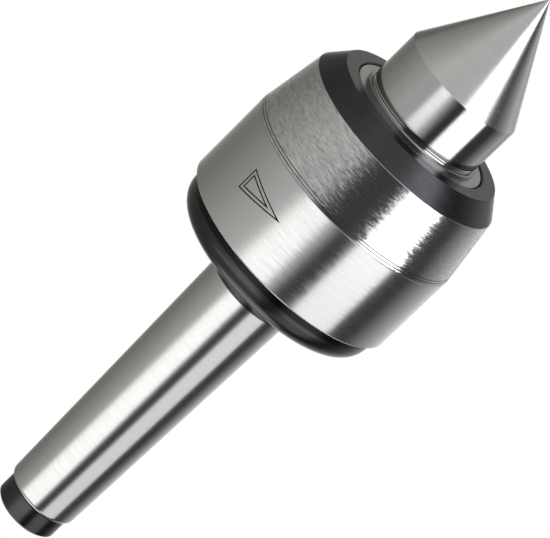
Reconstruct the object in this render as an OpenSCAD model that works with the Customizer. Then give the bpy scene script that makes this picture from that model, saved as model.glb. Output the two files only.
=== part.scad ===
// Rotating lathe centre. The hardened point turns in a ball bearing, a thrust bearing and a
// needle bearing, while the taper shank stands still in the tailstock.
// The axis of rotation lies along X and the point faces +X. The origin is on the axis, at the
// gauge plane of the taper. Sizes are in millimetres. A station is a distance along X from
// the gauge plane.

/* [Taper shank] */
// Diameter of the number 2 taper at its gauge plane
gauge_d = 17.78; // [17.70:0.01:17.86]
// Loss of diameter for each millimetre of length
taper_rate = 0.04995; // [0.0490:0.0001:0.0510]
// Length of ground taper behind the gauge plane
taper_back = 54.8; // [48:0.1:58]
// Length of ground taper ahead of the gauge plane
taper_front = 5; // [3:0.1:6]
// Diameter of the ejector stub
stub_d = 13.6; // [12:0.1:14]
// Length of the ejector stub
stub_len = 4.6; // [3:0.1:8]
// Diameter of the collar ahead of the taper
collar_d = 18.6; // [18.4:0.1:19.4]
// Diameter of the flange
flange_d = 44.6; // [42:0.1:46]
// Station of the flange's rear face
flange_x = 9.5; // [8:0.1:9.8]
// Radius of the flange's rounded rear edge
flange_round = 4; // [2:0.1:5]

/* [Housing and cap] */
// Diameter of the bearing housing
housing_d = 47.1; // [46.5:0.1:50]
// Station of the housing's rear face
housing_x = 15.9; // [15.5:0.1:17]
// Station of the seam between the housing and the nose cap
seam_x = 33.3; // [33:0.1:33.8]
// Station where the cap's bright cone ends and its bevel starts
bevel_x = 46.3; // [46:0.1:47]
// Diameter of the cap where the bevel starts
bevel_d = 43; // [42.6:0.1:44]
// Station of the cap's flat front face
face_x = 50.35; // [50:0.05:50.5]
// Outer diameter of the flat front face
face_d = 36.6; // [36:0.1:38]
// Diameter of the opening in the front face
opening_d = 30.4; // [30.4:0.1:31]
// Depth of the taper symbol cut into the housing
symbol_depth = 0.12; // [0.05:0.01:0.2]

/* [Point] */
// Diameter of the point's cylinder
point_d = 25; // [24.6:0.1:25]
// Station where the cylinder ends and the cone starts
cone_x = 61.6; // [58:0.1:70]
// Included angle of the cone
cone_angle = 60; // [60:1:75]
// Diameter of the flat at the tip
tip_d = 0.2; // [0.1:0.1:0.6]

/* [Bearings] */
// Number of balls in the front bearing
front_balls = 10; // [8:1:10]
// Number of balls in the thrust bearing
thrust_balls = 12; // [10:1:14]
// Number of rollers in the needle bearing
needle_count = 16; // [12:1:18]
// Diameter of the bearing balls
ball_d = 4.76; // [4.7:0.01:4.8]

/* [Hidden] */
$fn = 96;
eps = 0.01;
edge = 0.25;
// Play between a rolling element and its track, and between two pieces held fast together
play = 0.03;
snug = 0.01;

gauge_r = gauge_d / 2;
function taper_r(x) = gauge_r + taper_rate / 2 * x;
taper_round = 1.2;
stub_x = -taper_back - stub_len;
stub_chamfer = 0.45;
centre_r = 2;
centre_mouth_r = 3.4;
centre_depth = 6;
collar_fillet = 1;

// Spigot of the shank inside the housing, and its pocket for the needle bearing
spigot_r = 16;
spigot_x = 20.8;
pocket_r = 8;
pocket_x = 11.9;

// Threaded neck of the housing inside the nose cap
neck_r = 19.95;
neck_x = 42.9;
thrust_bore_r = 15.05;
ring_x = 34.3;
ring_r = 0.69;
ring_groove_r = 18.6;
ring_groove_len = 1.7;

// Front ball bearing, 17 x 35 x 10
front_x = 33.3;
front_len = 10;
front_mid = front_x + front_len / 2;
front_bore_r = 8.5;
front_out_r = 17.5;
front_pitch_r = 13;
front_land = 1.5;
race_chamfer = 0.4;
shield_t = 0.4;
shield_in = 0.4;
shield_r = 15.3;
ball_r = ball_d / 2;
track_r = ball_r + play;

// Ribbon cage of the front ball bearing
ribbon_t = 0.45;
ribbon_w = 2.1;
rivet_r = 0.35;
rivet_head_r = 0.65;
rivet_head_t = 0.3;

// Thrust ball bearing, 17 x 30 x 9
thrust_x = spigot_x;
thrust_len = 9;
thrust_mid = thrust_x + thrust_len / 2;
thrust_pitch_r = 11.9;
thrust_washer_t = 2.75;
thrust_out_r = 15.04;
thrust_shaft_out_r = 14.75;
thrust_housing_in_r = 9.1;
thrust_cage_t = 2.2;
thrust_cage_in_r = 9.2;
thrust_cage_out_r = 14.4;

// Needle bearing, 12 x 16 x 8
needle_x = 12.3;
needle_len = 8;
needle_mid = needle_x + needle_len / 2;
needle_cup_r = 7.99;
needle_cup_t = 0.46;
needle_lip_r = 6.4;
needle_lip_t = 0.5;
needle_r = 0.75;
needle_pitch_r = 6.75;
needle_roller_len = 6.2;
needle_cage_len = 6.6;
needle_cage_in_r = 6.3;
needle_cage_out_r = 7.2;

// Spindle behind the point
journal_r = 8.48;
tail_r = 5.98;
tail_x = 12.9;
tail_chamfer = 0.5;
step_x = 24;
shoulder_r = 10.6;
head_x = 44.6;
point_r = point_d / 2;
tip_x = cone_x + (point_r - tip_d / 2) / tan(cone_angle / 2);
clip_x = 32.2;
clip_groove_len = 1.1;
clip_groove_r = 8.1;
clip_t = 0.95;
spacer_r = 11;
spacer_x = thrust_x + thrust_len + 0.05;

// Root of the point, and the dust cover around it
cover_x = 48.2;
cover_face_x = 50.15;
cover_hub_x = 50.85;
cover_r = 14.95;
cover_hub_r = 13.05;
root_deep_r = 12.2;
root_shallow_r = 12.3;
root_deep_end = 51.15;
root_land_end = 51.35;
root_shallow_end = 51.75;

// Inside of the nose cap
cap_shoulder_x = 44.1;
cap_recess_r = 17.6;
cap_bore_r = 20;
cap_bore_x = 43.1;
cap_witness_x = 0.55;
cap_witness_w = 0.14;
opening_r = opening_d / 2;
felt_x = 45.3;
felt_len = 2.4;
felt_r = 17;
felt_gap = 0.05;
spring_t = 0.4;
spring_in_r = 15.6;
spring_out_r = 17.3;

// Taper symbol cut into the housing: its place, size, stroke, and the radius inscribed in it
symbol_x = 26;
symbol_turn = -25.5;
symbol_len = 11;
symbol_w = 4.8;
symbol_stroke = 0.95;
symbol_line = 0.25;
symbol_inner_r = symbol_len * symbol_w / (symbol_w + 2 * norm([symbol_len, symbol_w / 2]));

// Lays a shape made around Z along X
module along_x() rotate([0, 90, 0]) children();

// Solid of revolution around X, from an outline of [station, radius] points
module turned(outline) along_x() rotate_extrude() section(outline);

// The flat section of such a solid, with the axis of rotation at 0
module section(outline) polygon([for (p = outline) [p[1], p[0]]]);

// Plain ring between two stations
module ring(from, to, inner, outer)
    turned([[from, inner], [from, outer], [to, outer], [to, inner]]);

// Copies of a shape spaced evenly around X
module around(count, start = 0)
    for (i = [0:count - 1]) rotate([start + i * 360 / count, 0, 0]) children();

// Quarter of a disc that rounds a rear edge, with its flat side towards the point
module rear_round(outer, face, radius) translate([outer - radius - eps, face + radius])
    intersection() {
        circle(r = radius);
        translate([-radius, -radius]) square([2 * radius, radius]);
    }

// Shank: ejector stub, ground taper, collar, flange and the spigot that holds the housing
module shank() color("dimgray") along_x() rotate_extrude() difference() {
    union() {
        section([
            [stub_x, 0], [stub_x, stub_d / 2 - stub_chamfer],
            [stub_x + stub_chamfer, stub_d / 2], [-taper_back, stub_d / 2],
            [-taper_back, taper_r(-taper_back + taper_round) - taper_round],
            [-taper_back + taper_round, taper_r(-taper_back + taper_round)],
            [taper_front, taper_r(taper_front)], [taper_front, collar_d / 2],
            [flange_x - collar_fillet, collar_d / 2],
            [flange_x, collar_d / 2 + collar_fillet],
            [flange_x, flange_d / 2 - flange_round],
            [flange_x + flange_round, flange_d / 2],
            [housing_x, flange_d / 2], [housing_x, spigot_r],
            [spigot_x, spigot_r], [spigot_x, 0]]);
        rear_round(taper_r(-taper_back + taper_round), -taper_back, taper_round);
        rear_round(flange_d / 2, flange_x, flange_round);
    }
    section([[stub_x - 1, 0], [stub_x - 1, centre_mouth_r + 1 / sqrt(3)],
        [stub_x + (centre_mouth_r - centre_r) * sqrt(3), centre_r],
        [stub_x + centre_depth, centre_r],
        [stub_x + centre_depth + centre_r / sqrt(3), 0]]);
    section([[pocket_x, 0], [pocket_x, pocket_r], [spigot_x + 1, pocket_r],
        [spigot_x + 1, 0]]);
    translate([collar_d / 2 + collar_fillet, flange_x - collar_fillet])
        circle(r = collar_fillet);
}

// Slim triangle, the drawing symbol for a taper, made smaller all round by an inset
module taper_triangle(inset) scale((symbol_inner_r - inset) / symbol_inner_r) polygon([
    [-symbol_inner_r, -symbol_w / 2], [symbol_len - symbol_inner_r, 0],
    [-symbol_inner_r, symbol_w / 2]]);

// The symbol as a stroke with two fine edges
module taper_symbol() for (inset = [0, symbol_stroke - symbol_line]) difference() {
    taper_triangle(inset);
    taper_triangle(inset + symbol_line);
}

// Housing: the ground steel tube that carries the bearings, with a neck for the nose cap
module bearing_housing() color("silver") difference() {
    turned([
        [housing_x + snug, spigot_r + snug], [housing_x + snug, housing_d / 2 - edge],
        [housing_x + edge, housing_d / 2], [seam_x - edge / 2, housing_d / 2],
        [seam_x, housing_d / 2 - edge / 2], [seam_x, neck_r],
        [ring_x, neck_r], [ring_x, ring_groove_r],
        [ring_x + ring_groove_len, ring_groove_r], [ring_x + ring_groove_len, neck_r],
        [neck_x - edge, neck_r], [neck_x, neck_r - edge],
        [neck_x, front_out_r + snug], [front_x - edge, front_out_r + snug],
        [front_x - edge, thrust_bore_r], [spigot_x + snug, thrust_bore_r],
        [spigot_x + snug, spigot_r + snug]]);
    intersection() {
        ring(housing_x, seam_x, housing_d / 2 - symbol_depth, housing_d / 2 + 1);
        rotate([symbol_turn, 0, 0]) translate([symbol_x, symbol_len / 2 - symbol_inner_r, 0])
            rotate([0, 0, -90]) linear_extrude(housing_d) taper_symbol();
    }
}

// Nose cap: screws onto the housing's neck and closes the bearings in
module nose_cap() color("gainsboro") turned([
    [seam_x, cap_bore_r], [seam_x, housing_d / 2 - edge / 2],
    [seam_x + edge / 2, housing_d / 2],
    for (i = [1:2]) each witness(seam_x + i * cap_witness_x),
    [bevel_x, bevel_d / 2], [face_x, face_d / 2], [face_x, opening_r + edge],
    [face_x - edge, opening_r], [felt_x + felt_len, opening_r],
    [felt_x + felt_len, felt_r], [felt_x, felt_r], [felt_x, opening_r],
    [cap_shoulder_x, opening_r], [cap_shoulder_x, cap_recess_r],
    [cap_bore_x, cap_recess_r], [cap_bore_x, cap_bore_r]]);

// Radius of the cap's cone at a station
function cone_r(x) = housing_d / 2 - (housing_d - bevel_d) / 2
    * (x - seam_x) / (bevel_x - seam_x);

// Three points of a fine turned groove in the cap's cone
function witness(x) = [[x - cap_witness_w / 2, cone_r(x - cap_witness_w / 2)],
    [x, cone_r(x) - cap_witness_w / 2], [x + cap_witness_w / 2, cone_r(x + cap_witness_w / 2)]];

// Rubber ring that seals the cap on the neck
module cap_seal_ring() color("black") along_x() rotate_extrude()
    translate([(ring_groove_r + cap_bore_r) / 2, ring_x + ring_groove_len / 2])
        circle(r = ring_r, $fn = 32);

// Spindle: tail, bearing journal, head, and the point with its cone
module point_spindle() color("lightgray") turned([
    [tail_x, 0], [tail_x, tail_r - tail_chamfer], [tail_x + tail_chamfer, tail_r],
    [step_x, tail_r], [step_x, journal_r - tail_chamfer],
    [step_x + tail_chamfer, journal_r], [clip_x, journal_r], [clip_x, clip_groove_r],
    [clip_x + clip_groove_len, clip_groove_r], [clip_x + clip_groove_len, journal_r],
    [front_x + front_len + snug, journal_r], [front_x + front_len + snug, shoulder_r],
    [head_x, shoulder_r], [head_x, point_r - edge], [head_x + edge, point_r],
    [cover_hub_x, point_r], [cover_hub_x, root_deep_r], [root_deep_end, root_deep_r],
    [root_deep_end, point_r], [root_land_end, point_r],
    [root_land_end, root_shallow_r], [root_shallow_end, root_shallow_r],
    [root_shallow_end, point_r], [cone_x, point_r], [tip_x, tip_d / 2], [tip_x, 0]]);

// Dust cover: pressed on the spindle's head, it fills the cap's opening
module dust_cover() color("darkgray") turned([
    [cover_x, point_r + snug], [cover_x, cover_r], [cover_face_x - edge / 2, cover_r],
    [cover_face_x, cover_r - edge / 2], [cover_face_x, cover_hub_r],
    [cover_hub_x - edge, cover_hub_r], [cover_hub_x, cover_hub_r - edge],
    [cover_hub_x, point_r + snug]]);

// Felt ring in the cap's groove, which wipes the spindle's head
module felt_seal() color("saddlebrown")
    ring(felt_x + snug, felt_x + felt_len - snug, point_r + felt_gap, felt_r - snug);

// Conical spring that presses the front bearing's outer race back
module preload_spring() color("darkslategray") turned([
    [front_x + front_len + snug, spring_out_r],
    [front_x + front_len + spring_t, spring_out_r],
    [cap_shoulder_x - snug, spring_in_r],
    [cap_shoulder_x - spring_t, spring_in_r]]);

// Clip in the journal's groove, which holds the front bearing on the spindle
module retaining_clip() color("slategray") {
    clip_in_r = clip_groove_r + 0.05;
    clip_out_r = 10.4;
    clip_shift = 0.5;
    lug_r = 1.5;
    lug_hole_r = 0.7;
    lug_at = 9.6;
    lug_turn = 17;
    translate([clip_x + 0.05, 0, 0]) along_x() linear_extrude(clip_t) difference() {
        union() {
            translate([clip_shift, 0]) circle(r = clip_out_r - clip_shift);
            for (side = [-1, 1]) rotate(side * lug_turn) translate([-lug_at, 0])
                circle(r = lug_r);
        }
        circle(r = clip_in_r);
        for (side = [-1, 1]) rotate(side * lug_turn) translate([-lug_at, 0])
            circle(r = lug_hole_r, $fn = 24);
        polygon([[0, 0], [-2 * clip_out_r, -2], [-2 * clip_out_r, 2]]);
    }
}

// Sleeve between the clip and the thrust bearing's shaft washer
module spacer_sleeve() color("gray")
    ring(spacer_x, clip_x, journal_r + snug, spacer_r);

// Section of one race of the front bearing, between two radii, with its ball track
module race_section(inner, outer, bore) difference() {
    section([[front_x, inner], [front_x, outer], [front_x + front_len, outer],
        [front_x + front_len, inner]]);
    translate([front_pitch_r, front_mid]) circle(r = track_r);
    for (x = [front_x, front_x + front_len]) translate([bore, x]) rotate(45)
        square(race_chamfer * sqrt(2), center = true);
}

// Recesses in the outer race for its two shields
module shield_recesses() for (x = [front_x - 1, front_x + front_len - shield_in - shield_t])
    translate([0, x]) square([shield_r + snug, 1 + shield_in + shield_t]);

module front_outer_race() color("lightsteelblue") along_x() rotate_extrude() difference() {
    race_section(front_pitch_r + front_land, front_out_r, front_out_r);
    shield_recesses();
}

module front_inner_race() color("lightsteelblue") along_x() rotate_extrude()
    race_section(front_bore_r, front_pitch_r - front_land, front_bore_r);

// Places one ball of the front bearing at the top
module at_front_ball() translate([front_mid, 0, front_pitch_r]) children();

module front_ball_set() color("white") around(front_balls) at_front_ball() sphere(r = ball_r);

// Barrel cut from a ball, open towards and away from the axis
module barrel(radius) intersection() {
    sphere(r = radius);
    cylinder(r = 2 * radius, h = ribbon_w, center = true);
}

// Rear half of the pressed ribbon cage, with domes over the balls
module rear_cage_half() color("goldenrod") difference() {
    dome_r = track_r + ribbon_t;
    union() {
        ring(front_mid - ribbon_t, front_mid, front_pitch_r - ribbon_w / 2,
            front_pitch_r + ribbon_w / 2);
        around(front_balls) at_front_ball() intersection() {
            barrel(dome_r);
            translate([-dome_r, 0, 0]) cube(2 * dome_r, center = true);
        }
    }
    around(front_balls) at_front_ball() sphere(r = track_r);
    around(front_balls, 180 / front_balls) at_front_ball() rotate([0, 90, 0])
        cylinder(r = rivet_r + snug, h = 4 * ribbon_t, center = true, $fn = 24);
}

// Front half of the cage, which mirrors the rear half
module front_cage_half()
    translate([2 * front_mid, 0, 0]) mirror([1, 0, 0]) rear_cage_half();

// Rivets that join the two halves of the cage
module cage_rivets() color("darkgoldenrod")
    around(front_balls, 180 / front_balls) at_front_ball() rotate([0, 90, 0]) {
        cylinder(r = rivet_r, h = 2 * ribbon_t + 2 * snug, center = true, $fn = 24);
        for (side = [-1, 1]) translate([0, 0, side * (ribbon_t + snug + rivet_head_t / 2)])
            cylinder(r = rivet_head_r, h = rivet_head_t, center = true, $fn = 24);
    }

// Sheet-metal shield of the front bearing, starting at a station
module shield(x) color("lightgray")
    ring(x, x + shield_t, front_pitch_r - front_land + 0.25, shield_r);

module front_shield() shield(front_x + front_len - shield_in - shield_t);
module rear_shield() shield(front_x + shield_in);

// Section of a thrust washer, with its ball track
module washer_section(x, inner, outer) difference() {
    translate([inner, x]) square([outer - inner, thrust_washer_t]);
    translate([thrust_pitch_r, thrust_mid]) circle(r = track_r);
}

module thrust_housing_washer() color("steelblue") along_x() rotate_extrude()
    washer_section(thrust_x, thrust_housing_in_r, thrust_out_r);

module thrust_shaft_washer() color("steelblue") along_x() rotate_extrude()
    washer_section(thrust_x + thrust_len - thrust_washer_t, front_bore_r,
        thrust_shaft_out_r);

module at_thrust_ball() translate([thrust_mid, 0, thrust_pitch_r]) children();

module thrust_ball_set() color("white") around(thrust_balls) at_thrust_ball()
    sphere(r = ball_r);

module thrust_cage() color("peru") difference() {
    ring(thrust_mid - thrust_cage_t / 2, thrust_mid + thrust_cage_t / 2,
        thrust_cage_in_r, thrust_cage_out_r);
    around(thrust_balls) at_thrust_ball() rotate([0, 90, 0])
        cylinder(r = track_r, h = 2 * thrust_cage_t, center = true);
}

// Drawn cup of the needle bearing, with a lip at each end
module needle_cup() color("lightgray") turned([
    [needle_x, needle_lip_r], [needle_x, needle_cup_r],
    [needle_x + needle_len, needle_cup_r], [needle_x + needle_len, needle_lip_r],
    [needle_x + needle_len - needle_lip_t, needle_lip_r],
    [needle_x + needle_len - needle_lip_t, needle_cup_r - needle_cup_t],
    [needle_x + needle_lip_t, needle_cup_r - needle_cup_t],
    [needle_x + needle_lip_t, needle_lip_r]]);

// Places rollers around the tail, thicker by an allowance
module rollers(allowance) around(needle_count) translate([needle_mid, 0, needle_pitch_r])
    rotate([0, 90, 0]) cylinder(r = needle_r + allowance,
        h = needle_roller_len + 2 * allowance, center = true, $fn = 32);

module needle_cage() color("goldenrod") difference() {
    ring(needle_mid - needle_cage_len / 2, needle_mid + needle_cage_len / 2,
        needle_cage_in_r, needle_cage_out_r);
    rollers(play);
}

module needle_rollers() color("white") rollers(0);

shank();
bearing_housing();
nose_cap();
cap_seal_ring();
point_spindle();
dust_cover();
felt_seal();
preload_spring();
retaining_clip();
spacer_sleeve();
front_outer_race();
front_inner_race();
front_ball_set();
front_cage_half();
rear_cage_half();
cage_rivets();
front_shield();
rear_shield();
thrust_housing_washer();
thrust_shaft_washer();
thrust_ball_set();
thrust_cage();
needle_cup();
needle_cage();
needle_rollers();
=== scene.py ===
# %% [markdown]
# # Rotating lathe center
# A live center sits in a lathe's tailstock and holds the free end of the work. Its ground point turns
# with the work while the taper shank stands still. The metal pieces come in at their true size and
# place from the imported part, so this notebook only makes their surfaces, the light and the camera.
# The axis of rotation is X, the point faces +X, and a station is a distance along X.

# %% Load the part
from math import cos, degrees, radians, sin

import bpy
from mathutils import Matrix, Vector


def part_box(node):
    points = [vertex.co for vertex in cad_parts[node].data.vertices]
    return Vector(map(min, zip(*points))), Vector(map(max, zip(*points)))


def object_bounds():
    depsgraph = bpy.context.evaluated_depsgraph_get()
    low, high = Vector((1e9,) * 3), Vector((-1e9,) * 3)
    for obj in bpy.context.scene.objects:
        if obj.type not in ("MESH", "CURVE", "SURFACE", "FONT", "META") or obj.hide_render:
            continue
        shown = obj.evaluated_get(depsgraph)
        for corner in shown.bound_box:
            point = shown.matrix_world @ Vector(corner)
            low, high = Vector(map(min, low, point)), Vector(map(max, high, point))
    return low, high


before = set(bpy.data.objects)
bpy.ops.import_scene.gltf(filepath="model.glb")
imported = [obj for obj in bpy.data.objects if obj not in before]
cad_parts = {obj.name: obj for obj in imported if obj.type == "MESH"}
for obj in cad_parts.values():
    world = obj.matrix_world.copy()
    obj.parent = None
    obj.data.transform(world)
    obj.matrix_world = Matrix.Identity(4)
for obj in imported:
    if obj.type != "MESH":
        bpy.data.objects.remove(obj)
bounds_at_load = [list(map(float, corner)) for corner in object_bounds()]
size_mm = [round(1000 * (high - low), 2) for low, high in zip(*bounds_at_load)]
print("pieces:", len(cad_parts), "overall size in mm:", size_mm)

# %% [markdown]
# ## Stations and radii
# The finishes change at edges of the pieces: the bright ground taper ends where the blackened collar
# starts, and the bright cone of the nose cap ends where its black bevel starts. These places are
# worked out from the boxes of the pieces, in millimeters, so they follow the pieces.

# %% Measure the pieces
MM = 0.001
stub_len = 4.6
taper_len = 59.8
bevel_len = 4.05
shank_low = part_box("shank")[0]
housing_low, housing_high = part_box("bearing_housing")
cap_low, cap_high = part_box("nose_cap")
point_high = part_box("point_spindle")[1]
taper_back_x = shank_low.x / MM + stub_len
taper_front_x = taper_back_x + taper_len
housing_x = housing_low.x / MM
housing_r = housing_high.z / MM
seam_x = cap_low.x / MM
face_x = cap_high.x / MM
bevel_x = face_x - bevel_len
print("taper from", round(taper_back_x, 2), "to", round(taper_front_x, 2), "mm")
print("bevel from", round(bevel_x, 2), "to", round(face_x, 2), "mm")

# %% [markdown]
# ## Two small helpers
# A color is written as it is seen on a screen, and Blender calculates with linear light, so one
# function turns the hex code into linear numbers. The other adds one shader node: it sets the
# node's options, fills or links its open inputs in their order or by name, and hands back an
# output. Every finish below is a chain of such nodes.

# %% Color and node helpers
def linear(code):
    parts = [int(code[i:i + 2], 16) / 255 for i in (1, 3, 5)]
    return [p / 12.92 if p <= 0.04045 else ((p + 0.055) / 1.055) ** 2.4 for p in parts] + [1.0]


def add(tree, kind, *values, out=None, named=None, **settings):
    made = tree.nodes.new("ShaderNode" + kind)
    for name, value in settings.items():
        setattr(made, name, value)
    filled = list(zip([socket for socket in made.inputs if socket.enabled], values))
    filled += [(made.inputs[name], value) for name, value in (named or {}).items()]
    for socket, value in filled:
        if isinstance(value, bpy.types.NodeSocket):
            tree.links.new(value, socket)
        else:
            socket.default_value = value
    results = [socket for socket in made.outputs if socket.enabled and out in (None, socket.name)]
    return results[0] if results else made


print("linear value of mid gray:", round(linear("#808080")[0], 3))

# %% [markdown]
# ## Where a point lies on a turned piece
# A lathe tool or a grinding wheel leaves its marks in rings around the axis. A pattern that only knows
# the station along the axis and the distance from it draws such rings on cylinders, cones
# and flat faces alike. The marks of a real tool also fade a little on the way around, so the place
# across the axis comes in too, much weaker. Clouds, blotches and grain have no direction, and
# plain noise of the right size is enough for them.

# %% Ring coordinates and patches
def turned_place(tree):
    place = add(tree, "TexCoord", out="Object")
    mm = add(tree, "VectorMath", place, 1 / MM, operation="SCALE")
    x, y, z = add(tree, "SeparateXYZ", mm).node.outputs
    square = add(tree, "Math", z, z, operation="MULTIPLY")
    square = add(tree, "Math", y, y, square, operation="MULTIPLY_ADD")
    return {"mm": mm, "x": x, "y": y, "z": z, "radius": add(tree, "Math", square, operation="SQRT")}


def rings(tree, at, per_mm, around, detail=2.0):
    x = add(tree, "Math", at["x"], per_mm, operation="MULTIPLY")
    radius = add(tree, "Math", at["radius"], per_mm, operation="MULTIPLY")
    y = add(tree, "Math", at["y"], around, operation="MULTIPLY")
    z = add(tree, "Math", at["z"], around, operation="MULTIPLY")
    place = add(tree, "CombineXYZ", x, radius, y)
    return add(tree, "TexNoise", noise_dimensions="4D", named={
        "Vector": place, "W": z, "Scale": 1.0, "Detail": detail, "Roughness": 0.6})


def patches(tree, at, size_mm, detail=3.0):
    return add(tree, "TexNoise", noise_dimensions="3D", named={
        "Vector": at["mm"], "Scale": 1 / size_mm, "Detail": detail, "Roughness": 0.55})


print("ring coordinates ready")

# %% [markdown]
# ## Marks that tilt the surface
# The edge of a highlight on turned steel isn't a clean line: each tool mark carries it a little
# further around than its neighbor does, so it looks torn into rings. A bump across the marks can't
# do that, as it only tilts the surface along the axis. So here the marks also push the
# surface's normal around the axis, each ring by its own amount.

# %% Ring tilt
def lean(tree, at, marks, amount):
    back = add(tree, "Math", at["z"], -1.0, operation="MULTIPLY")
    around = add(tree, "CombineXYZ", 0.0, back, at["y"])
    around = add(tree, "VectorMath", around, operation="NORMALIZE")
    around = add(tree, "VectorTransform", around, vector_type="VECTOR",
                 convert_from="OBJECT", convert_to="WORLD")
    tilt = add(tree, "Math", marks, 0.5, operation="SUBTRACT")
    tilt = add(tree, "Math", tilt, amount, operation="MULTIPLY")
    push = add(tree, "VectorMath", around, tilt, operation="SCALE")
    tilted = add(tree, "VectorMath", add(tree, "NewGeometry", out="Normal"), push, operation="ADD")
    return add(tree, "VectorMath", tilted, operation="NORMALIZE")


print("ring tilt ready")

# %% [markdown]
# ## From patterns to a finish
# A noise pattern stays mostly between 0.25 and 0.75. Stretching that range lets a number drift
# between two values, and gives two tones of one color. A mask between two stations marks where
# one finish ends and the next starts. The Principled shader then stands for metal, rubber and felt
# alike, with small bumps from the same pattern, so that color, gloss and relief agree.

# %% Finish helpers
def drift(tree, pattern, low, high):
    return add(tree, "MapRange", pattern, 0.25, 0.75, low, high)


def two_tone(tree, pattern, one, other):
    return add(tree, "Mix", drift(tree, pattern, 0.0, 1.0), linear(one), linear(other), data_type="RGBA")


def between(tree, value, low, high, soft):
    smooth = {"interpolation_type": "SMOOTHSTEP"}
    after = add(tree, "MapRange", value, low - soft, low + soft, **smooth)
    before = add(tree, "MapRange", value, high - soft, high + soft, 1.0, 0.0, **smooth)
    return add(tree, "Math", after, before, operation="MULTIPLY")


def new_finish(name):
    finish = bpy.data.materials.new(name)
    finish.use_nodes = True
    finish.node_tree.nodes.clear()
    return finish, finish.node_tree, turned_place(finish.node_tree)


def surface(tree, color, rough, bumps, depth_mm, tilted=None, **shader):
    height = {"Height": bumps, "Distance": depth_mm * MM, "Strength": 1.0}
    if tilted is not None:
        height["Normal"] = tilted
    inputs = {"Base Color": color, "Roughness": rough, "Normal": add(tree, "Bump", named=height)}
    inputs |= {name.replace("_", " "): value for name, value in shader.items()}
    add(tree, "OutputMaterial", add(tree, "BsdfPrincipled", named=inputs))


def wear(finish, *names):
    for name in names:
        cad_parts[name].data.materials[0] = finish
    print(finish.name, "on", ", ".join(names))


print("finish helpers ready")

# %% [markdown]
# ## Ground taper and black oxide
# The shank is blackened in a hot bath after turning, which leaves a thin dark skin with a
# low satin gloss. Then only the taper is ground, and the wheel cuts the black away down to bright
# steel. One mask along the axis switches between the two, as the grinding does. Wheel marks are about
# 0.02 mm apart, too fine to show, so they are drawn about three to the millimeter. The rounded rear
# edge of the taper stays black, as the wheel doesn't reach it. A darker strip around the flange
# beside the housing is painted shade.

# %% Shank finish
rear_round_len = 0.6
stub_clear_r = 6.9
corner_shade_len = 1.7
shank_finish, tree, at = new_finish("black_oxide_and_ground_taper")
wheel_marks = rings(tree, at, 3.2, 0.3, 4.0)
clouds = patches(tree, at, 9.0)
taper = between(tree, at["x"], taper_back_x + rear_round_len, taper_front_x, 0.04)
outside = add(tree, "Math", at["radius"], stub_clear_r, operation="GREATER_THAN")
ground = add(tree, "Math", taper, outside, operation="MULTIPLY")
steel = two_tone(tree, wheel_marks, "#c5c5c4", "#bdbdbc")
black = two_tone(tree, clouds, "#3e3e3f", "#4b4b4c")
# painted shade: the black is darkened in a strip of the flange beside the housing
corner = between(tree, at["x"], housing_x - corner_shade_len, housing_x + 1, 0.25)
black = add(tree, "Mix", corner, black, linear("#262627"), data_type="RGBA")
color = add(tree, "Mix", ground, black, steel, data_type="RGBA")
satin = drift(tree, clouds, 0.2, 0.28)
rough = add(tree, "Mix", ground, satin, drift(tree, wheel_marks, 0.16, 0.2), data_type="FLOAT")
surface(tree, color, rough, wheel_marks, 0.004, lean(tree, at, wheel_marks, 0.012), Metallic=1.0)
wear(shank_finish, "shank")

# %% [markdown]
# ## Ground housing
# The housing is ground on the outside, which leaves very fine rings and a satin shine. The size
# symbol was cut before grinding and keeps a dark floor, so in that stretch whatever lies deeper
# than the ground surface turns dark. The sharp rear edge is only turned, so it is duller. The wheel
# marks are drawn coarser here too, three to the millimeter, so that they show.

# %% Housing finish
symbol_depth = 0.05
symbol_from = 2
symbol_to = 15
edge_len = 0.3
housing_finish, tree, at = new_finish("ground_steel_with_dark_symbol")
wheel_marks = rings(tree, at, 3.0, 0.25, 4.0)
deep = add(tree, "Math", at["radius"], housing_r - symbol_depth, operation="LESS_THAN")
stretch = between(tree, at["x"], housing_x + symbol_from, housing_x + symbol_to, 0.1)
cut = add(tree, "Math", deep, stretch, operation="MULTIPLY")
steel = two_tone(tree, wheel_marks, "#c8c8c7", "#c0c0bf")
color = add(tree, "Mix", cut, steel, linear("#1f1e1d"), data_type="RGBA")
edge = add(tree, "Math", at["x"], housing_x + edge_len, operation="LESS_THAN")
rough = add(tree, "Math", edge, 0.3, drift(tree, wheel_marks, 0.13, 0.21), operation="MULTIPLY_ADD")
rough = add(tree, "Math", cut, 0.2, rough, operation="MULTIPLY_ADD")
surface(tree, color, rough, wheel_marks, 0.006, lean(tree, at, wheel_marks, 0.035), Metallic=1.0)
wear(housing_finish, "bearing_housing")
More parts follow.
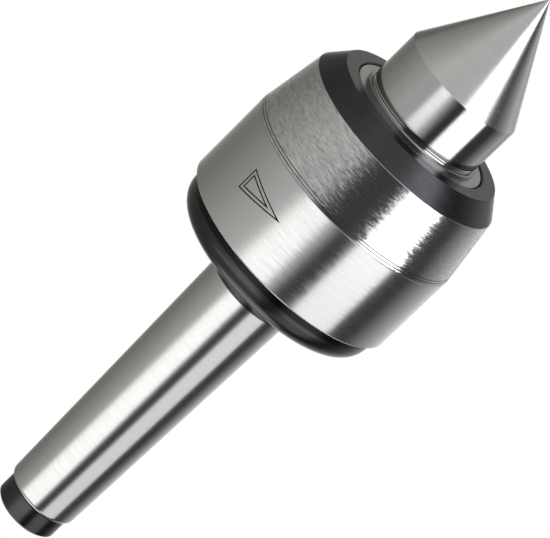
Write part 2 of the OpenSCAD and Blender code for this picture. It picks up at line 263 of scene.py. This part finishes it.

# %% [markdown]
# ## Turned nose cap
# The cap's cone is finished with a lathe tool only, so its marks are much stronger than ground
# ones. The tool moves about 0.15 mm each turn, and the marks are drawn at about twice that, so that
# they show. The bevel and the front face keep the black skin, which is duller on the face. Along the
# sharp edge where the bevel starts, a thin band of bright steel is a painted highlight. Two fine
# grooves run beside the seam, where the cap screws on, and are drawn dark as painted shade.

# %% Nose cap finish
groove_step = 0.55
groove_half = 0.07
edge_highlight_len = 0.12
face_skin = 0.03
cap_finish, tree, at = new_finish("turned_steel_with_black_bevel")
tool_marks = rings(tree, at, 3.4, 0.7, 3.0)
fine_marks = rings(tree, at, 4.0, 0.1)
edge_highlight_x = bevel_x + edge_highlight_len
# painted highlight: the bright steel reaches about 0.12 mm onto the black bevel along its edge
bright = add(tree, "MapRange", at["x"], edge_highlight_x - 0.07, edge_highlight_x, 1.0, 0.0)
steel = two_tone(tree, tool_marks, "#eaeae9", "#9c9c9b")
for groove in (1, 2):
    groove_x = seam_x + groove * groove_step
    # painted shade: each groove beside the seam is drawn dark
    groove_shade = between(tree, at["x"], groove_x - groove_half, groove_x + groove_half, 0.02)
    steel = add(tree, "Mix", groove_shade, steel, linear("#4a4a49"), data_type="RGBA")
black = two_tone(tree, patches(tree, at, 6.0), "#444446", "#515153")
front_face = add(tree, "Math", at["x"], face_x - face_skin, operation="GREATER_THAN")
black = add(tree, "Mix", front_face, black, linear("#2b2b2c"), data_type="RGBA")
color = add(tree, "Mix", bright, black, steel, data_type="RGBA")
satin = drift(tree, tool_marks, 0.24, 0.32)
rough = add(tree, "Mix", bright, satin, drift(tree, tool_marks, 0.1, 0.22), data_type="FLOAT")
height = add(tree, "Mix", bright, drift(tree, fine_marks, 0.0, 0.4), tool_marks, data_type="FLOAT")
torn = add(tree, "Math", bright, 0.22, operation="MULTIPLY")
surface(tree, color, rough, height, 0.03, lean(tree, at, tool_marks, torn), Metallic=1.0)
wear(cap_finish, "nose_cap")

# %% [markdown]
# ## Ground point
# The point is hardened tool steel, ground on centers as the last step so that it runs true. The
# cylinder shines almost like a mirror and a shade darker, and the cone shows slightly stronger
# marks, because the wheel was dressed again for it. The root of the cylinder, with its fine steps, is
# as light as the cone. The cone starts where a 60 degree angle from the tip meets the cylinder.

# %% Point finish
root_len = 1.4
point_r = point_high.z / MM - 0.1
cone_x = point_high.x / MM - point_r * 3 ** 0.5
point_finish, tree, at = new_finish("hardened_and_ground_steel")
wheel_marks = rings(tree, at, 3.6, 0.2, 4.0)
on_cone = add(tree, "MapRange", at["x"], cone_x - 0.05, cone_x + 0.05)
in_root = add(tree, "Math", at["x"], face_x + root_len, operation="LESS_THAN")
lighter = add(tree, "Math", on_cone, in_root, operation="MAXIMUM")
mirror = two_tone(tree, wheel_marks, "#c0c0bf", "#bababa")
color = add(tree, "Mix", lighter, mirror, two_tone(tree, wheel_marks, "#dadad9", "#d0d0cf"), data_type="RGBA")
gloss = drift(tree, wheel_marks, 0.09, 0.13)
rough = add(tree, "Mix", on_cone, gloss, drift(tree, wheel_marks, 0.15, 0.25), data_type="FLOAT")
strength = add(tree, "Math", on_cone, 0.75, 0.25, operation="MULTIPLY_ADD")
height = add(tree, "Math", wheel_marks, strength, operation="MULTIPLY")
torn = add(tree, "Math", on_cone, 0.035, 0.005, operation="MULTIPLY_ADD")
surface(tree, color, rough, height, 0.008, lean(tree, at, wheel_marks, torn), Metallic=1.0)
wear(point_finish, "point_spindle", "spacer_sleeve")
print("cone starts at", round(cone_x, 2))

# %% [markdown]
# ## Dust cover and shields
# The small cover around the root of the point is faced on a lathe and zinc plated: a flat gray
# with marks so fine that they only soften the reflections, drawn four to the millimeter. The two
# shields of the ball bearing get the same plate.

# %% Zinc plate finish
zinc_finish, tree, at = new_finish("faced_zinc_plate")
facing_marks = rings(tree, at, 4.0, 0.05)
gray = two_tone(tree, patches(tree, at, 4.0), "#a0a0a0", "#949494")
surface(tree, gray, drift(tree, facing_marks, 0.2, 0.28), facing_marks, 0.008, Metallic=1.0)
wear(zinc_finish, "dust_cover", "front_shield", "rear_shield")

# %% [markdown]
# ## Bearing steel
# Balls, rollers and races are through-hardened chrome bearing steel. Lapping leaves them almost like a
# mirror, with a faint haze of scratches too fine to see one by one, so the haze is only a
# slow change in roughness over about a millimeter.

# %% Bearing steel finish
bearing_finish, tree, at = new_finish("lapped_bearing_steel")
haze = patches(tree, at, 1.2)
steel = two_tone(tree, haze, "#d3d4d6", "#c5c6c8")
surface(tree, steel, drift(tree, haze, 0.06, 0.13), rings(tree, at, 5.0, 0.3), 0.002, Metallic=1.0)
wear(bearing_finish, "front_outer_race", "front_inner_race", "front_ball_set", "thrust_ball_set")
wear(bearing_finish, "thrust_housing_washer", "thrust_shaft_washer", "needle_rollers")

# %% [markdown]
# ## Pressed sheet
# Cages, rivets and the needle cup are pressed from mild steel strip and then tumbled with small
# stones. That rounds the edges and leaves a soft, slightly blotchy gray with shallow dents about a
# quarter of a millimeter across.

# %% Pressed steel finish
pressed_finish, tree, at = new_finish("tumbled_steel_strip")
dents = patches(tree, at, 0.25)
steel = two_tone(tree, patches(tree, at, 0.8), "#b9b7b2", "#a3a19c")
surface(tree, steel, drift(tree, dents, 0.28, 0.42), dents, 0.006, Metallic=1.0)
wear(pressed_finish, "front_cage_half", "rear_cage_half", "cage_rivets", "needle_cup", "needle_cage")

# %% [markdown]
# ## Blued spring steel
# The spring ring and the clip are stamped, hardened and tempered. Tempering grows a thin blue
# skin whose tone drifts a little from one spot to the next, because the heat was not quite even. Its
# grain is much finer than the 0.3 mm drawn here, which is as fine as can show.

# %% Spring steel finish
spring_finish, tree, at = new_finish("blued_spring_steel")
grain = patches(tree, at, 0.3)
blue = two_tone(tree, patches(tree, at, 3.0), "#3b424e", "#4c4a52")
surface(tree, blue, drift(tree, grain, 0.26, 0.4), grain, 0.004, Metallic=1.0)
wear(spring_finish, "preload_spring", "retaining_clip")

# %% [markdown]
# ## Turned brass
# The thrust bearing's cage is turned from brass bar. Brass is a yellow metal all through, so the
# color sits in the metal's own reflection. The tool marks are about 0.1 mm apart and are drawn
# three times as coarse, so that they show.

# %% Brass finish
brass_finish, tree, at = new_finish("turned_brass")
tool_marks = rings(tree, at, 3.0, 0.2, 3.0)
brass = two_tone(tree, tool_marks, "#d8b36a", "#bf9a55")
surface(tree, brass, drift(tree, tool_marks, 0.2, 0.32), tool_marks, 0.01, Metallic=1.0)
wear(brass_finish, "thrust_cage")

# %% [markdown]
# ## Seals
# The cap's ring is molded nitrile rubber: black, soft and not metallic, with a bloom of wax that
# dulls it in patches about 2 mm wide, and the mold's grain, drawn at 0.3 mm. The wiper is wool felt
# soaked in oil, a mat of fibers about 0.03 mm thick, drawn at 0.2 mm so that the mat shows at all.

# %% Seal finishes
rubber_finish, tree, at = new_finish("molded_nitrile_rubber")
bloom = patches(tree, at, 2.0)
black = two_tone(tree, bloom, "#191919", "#262625")
surface(tree, black, drift(tree, bloom, 0.45, 0.65), patches(tree, at, 0.3), 0.01, IOR=1.52)
wear(rubber_finish, "cap_seal_ring")

felt_finish, tree, at = new_finish("oiled_wool_felt")
fibers = patches(tree, at, 0.2, 5.0)
wool = two_tone(tree, fibers, "#6b5a42", "#8d7a5c")
surface(tree, wool, drift(tree, fibers, 0.75, 0.95), fibers, 0.08, IOR=1.47, Sheen_Weight=0.25)
wear(felt_finish, "felt_seal")

# %% [markdown]
# ## Pale floor
# The floor is plain and evenly bright, so it reads as one pale sheet. It is kept out of the
# reflections, because the sky below already stands for what it would send up into the steel.

# %% Floor
floor_size = 6
floor_gap = 0.5 * MM
bpy.ops.mesh.primitive_plane_add(size=floor_size, location=(0, 0, housing_low.z - floor_gap))
floor = bpy.context.object
floor.name = "floor"
floor_finish = bpy.data.materials.new("pale_floor")
floor_finish.use_nodes = True
tree = floor_finish.node_tree
tree.nodes.clear()
add(tree, "OutputMaterial", add(tree, "Emission", linear("#ffffff"), 1.0))
floor.data.materials.append(floor_finish)
floor.visible_glossy = False
floor.visible_diffuse = False
floor.visible_shadow = False
print("floor at z in mm:", round(floor.location.z / MM, 2))

# %% [markdown]
# ## Directions on the sky
# Polished steel shows what stands around it, so the light is the picture. Everything around the
# center is drawn on the sky, because there each light's edges can be placed exactly. `turn` is the
# angle around the axis: 0 degrees is overhead and positive is towards -Y. `ahead` tells how far
# along the axis a piece of sky lies, from -1 behind the shank to 1 beyond the point. The shape of each
# piece decides what it mirrors: the taper and the housing show sky at about -0.4 and -0.33, the cap
# at -0.3 to 0, the point's cylinder at -0.28 to -0.26, and its cone at -0.2 to 0.7.

# %% Sky directions
world = bpy.data.worlds.new("studio")
bpy.context.scene.world = world
world.use_nodes = True
tree = world.node_tree
tree.nodes.clear()
ahead, left, up = add(tree, "SeparateXYZ", add(tree, "TexCoord", out="Generated")).node.outputs
aside = add(tree, "Math", left, -1.0, operation="MULTIPLY")
turn = add(tree, "Math", aside, up, operation="ARCTAN2")
turn = add(tree, "Math", turn, degrees(1), operation="MULTIPLY")


def by_ahead(start, end, low=0.0, high=1.0):
    return add(tree, "MapRange", ahead, start, end, low, high)


def all_of(first, *others):
    for other in others:
        first = add(tree, "Math", first, other, operation="MULTIPLY")
    return first


def sky_ends(first, last, soft):
    return all_of(by_ahead(first - soft, first + soft), by_ahead(last + soft, last - soft))


def sky_strip(low_edge, high_edge, soft):
    before = add(tree, "Math", soft, -1.0, operation="MULTIPLY")
    over_low = add(tree, "Math", turn, low_edge, operation="SUBTRACT")
    under_high = add(tree, "Math", high_edge, turn, operation="SUBTRACT")
    return all_of(*[add(tree, "MapRange", inside, before, soft, interpolation_type="SMOOTHSTEP")
                    for inside in (over_low, under_high)])


print("sky directions ready")

# %% [markdown]
# ## Tent
# A gray tent surrounds the center, as in a studio for shiny things. It is brightest below, where
# the pale table lights it, and darkest on the -Y side, which gives the steel its dark band.
# Each level is the brightness at one angle around the axis, and the ramp joins them.

# %% Tent levels
brightest = 2.0
levels = {-180: 1.1, -170: 0.75, -160: 0.36, -140: 0.25, -120: 0.28, -90: 0.4, -50: 0.62, 20: 0.6, 82: 0.05,
          102: 0.06, 112: 0.19, 130: 0.45, 155: 0.8, 180: 1.05}
tent = add(tree, "ValToRGB", add(tree, "MapRange", turn, -180, 180), out="Color")
stops = tent.node.color_ramp.elements
while len(stops) < len(levels):
    stops.new(0.5)
for stop, (angle, level) in zip(stops, levels.items()):
    stop.position = (angle + 180) / 360
    stop.color = (level / brightest, level / brightest, level / brightest, 1)
light = add(tree, "Math", tent, brightest, operation="MULTIPLY")
print("tent levels:", len(levels))

# %% [markdown]
# ## Flag and shades
# Black cloth hung beside the overhead softbox, called a flag, draws the narrow dark line along every
# piece, and its upper edge is set apart for each, so that the line has the right width. A shade below
# keeps the front face of the cap dull, and weaker ones darken the low sides of the point.

# %% Flag and shades
flag_step = all_of(by_ahead(-0.267, -0.279, -3, 7), by_ahead(-0.31, -0.29))
flag_low = add(tree, "Math", by_ahead(-0.32, 0.1, 13, -16), flag_step, operation="ADD")
flag = all_of(sky_strip(flag_low, 35, 6), by_ahead(0.6, 0.4))
low_sky = add(tree, "MapRange", up, -0.75, -0.88)
face_shade = all_of(low_sky, by_ahead(0.1, 0.2), by_ahead(0.6, 0.5))
low_sides = add(tree, "Math", sky_strip(-166, -124, 8), sky_strip(146, 174, 8), operation="ADD")
cone_shade = all_of(low_sides, sky_ends(-0.1, 0.18, 0.05))
cylinder_shade = all_of(sky_strip(143, 178, 5), sky_ends(-0.288, -0.255, 0.005))
point_shade = add(tree, "Math", cone_shade, cylinder_shade, operation="MAXIMUM")
print("flag and shades ready")

# %% [markdown]
# ## Softboxes
# One long softbox hangs overhead and lights the taper and the housing. It ends before the cap, so the
# cap stays dark on top. A short one lights only the point's cylinder and narrows towards the
# cone, like a tongue. The brightest one runs along the -Y side past every piece and sinks a little
# far ahead, and a last one stands behind the shank.

# %% Softboxes
cylinder_root = -0.281
cylinder_end = -0.264
from_cylinder = all_of(by_ahead(-0.284, -0.272), by_ahead(-0.2, -0.26))
overhead_low = add(tree, "Math", ahead, 152.0, 23.4, operation="MULTIPLY_ADD")
overhead = all_of(sky_strip(overhead_low, by_ahead(-0.42, -0.28, 8, 1), 4), sky_ends(-0.56, -0.3, 0.01))
tongue_low = by_ahead(cylinder_root, cylinder_end, -16, -22)
tongue_high = by_ahead(cylinder_root, cylinder_end, 15, -2)
tongue = all_of(sky_strip(tongue_low, tongue_high, 5), from_cylinder)
side_low = add(tree, "Math", by_ahead(0.0, 0.65, 37, 34), by_ahead(0.68, 0.84, 0, 12), operation="ADD")
side_low = add(tree, "Math", from_cylinder, -4, side_low, operation="MULTIPLY_ADD")
side_high = by_ahead(0.7, 0.84, 79, 86)
side = all_of(sky_strip(side_low, side_high, by_ahead(0.3, 0.65, 2.5, 7)), by_ahead(-0.88, -0.76))
side_boost = by_ahead(-0.29, -0.265, 0, 0.5)
side_level = add(tree, "Math", by_ahead(-0.38, -0.24, 1.15, 2.3), side_boost, operation="ADD")
side_level = all_of(side_level, by_ahead(0.7, 0.84, 1, 0.6))
behind = by_ahead(-0.93, -0.96)
print("point's cylinder mirrors sky from", cylinder_root, "to", cylinder_end)

# %% [markdown]
# ## Hanging the lights
# Each light covers what hangs behind it, so the order matters: first the black cloth, then the
# shades, then the softboxes. The light is a little warmer on the +Y side than on the -Y side, and
# what the camera sees past the center is plain white, like the floor.

# %% Hang the lights
for cloth, level in ((flag, 0.05), (face_shade, 0.5)):
    light = add(tree, "Mix", cloth, light, level, data_type="FLOAT")
light = all_of(light, add(tree, "MapRange", point_shade, 0, 1, 1, 0.55))
for softbox, level in ((overhead, 2.0), (tongue, 2.1), (side, side_level), (behind, 2.2)):
    light = add(tree, "Mix", softbox, light, level, data_type="FLOAT")
cooler = add(tree, "MapRange", turn, -120, 60)
tint = add(tree, "Mix", cooler, linear("#fffbf4"), linear("#fbfbff"), data_type="RGBA")
seen = add(tree, "LightPath", out="Is Camera Ray")
light = add(tree, "Mix", seen, light, 1.0, data_type="FLOAT")
tint = add(tree, "Mix", seen, tint, linear("#ffffff"), data_type="RGBA")
add(tree, "OutputWorld", add(tree, "Background", tint, light))
print("nodes in the sky:", len(tree.nodes))

# %% [markdown]
# ## Camera
# A long lens looks down on the center from its front, with the axis turned across the frame. The
# camera's place is worked out from how far it leans down, how far it is rolled, its distance, and
# where the origin, on the axis near the front of the taper, appears in the view.

# %% Camera
sensor_mm = 36
lens_mm = 206.9935
tilt = radians(70.17)
roll = radians(44.28)
distance = 0.5845
origin_right = -0.00760
origin_down = 0.00719
forward = Vector((-cos(tilt), 0, -sin(tilt)))
along = Vector((sin(tilt), 0, -cos(tilt)))
across = Vector((0, -1, 0))
right = cos(roll) * along + sin(roll) * across
down = -sin(roll) * along + cos(roll) * across
place = -(origin_right * right + origin_down * down + distance * forward)
facing = Matrix((right, -down, -forward)).transposed().to_4x4()
lens = bpy.data.cameras.new("camera")
lens.sensor_width = sensor_mm
lens.lens = lens_mm
camera = bpy.data.objects.new("camera", lens)
bpy.context.scene.collection.objects.link(camera)
camera.matrix_world = Matrix.Translation(place) @ facing
bpy.context.scene.camera = camera
bpy.context.scene.view_settings.view_transform = "Standard"
print("camera at", [round(value, 3) for value in place], "lens in mm", lens_mm)
